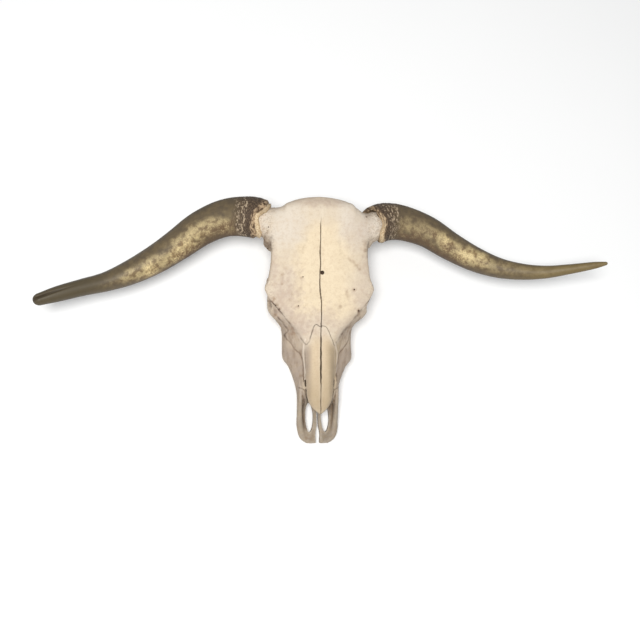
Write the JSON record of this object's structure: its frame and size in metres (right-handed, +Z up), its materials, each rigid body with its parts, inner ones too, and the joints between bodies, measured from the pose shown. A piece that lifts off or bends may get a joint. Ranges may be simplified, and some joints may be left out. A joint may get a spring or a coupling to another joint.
{
  "type": "cow skull",
  "caption": "Weathered longhorn cattle skull without its lower jaw, lying face up, with long spreading horns.",
  "frame": {"origin": "middle of the bounding box, on the floor the skull lies on", "axes": "+X towards the animal's left horn tip, +Y from the nose towards the poll, +Z up, out of the forehead"},
  "size_m": [1.2488, 0.5252, 0.2113],
  "materials": {
    "bone": "dry bleached bone, matt",
    "horn": "horn keratin, brown streaked with gold, rough and flaking at the base, low sheen further out"
  },
  "bodies": {
    "root": {"cranium": "bone", "maxilla_left": "bone", "maxilla_right": "bone", "nasal_left": "bone", "nasal_right": "bone", "premaxilla_left": "bone", "premaxilla_right": "bone", "horn_left": "horn", "horn_right": "horn"}
  },
  "joints": []
}
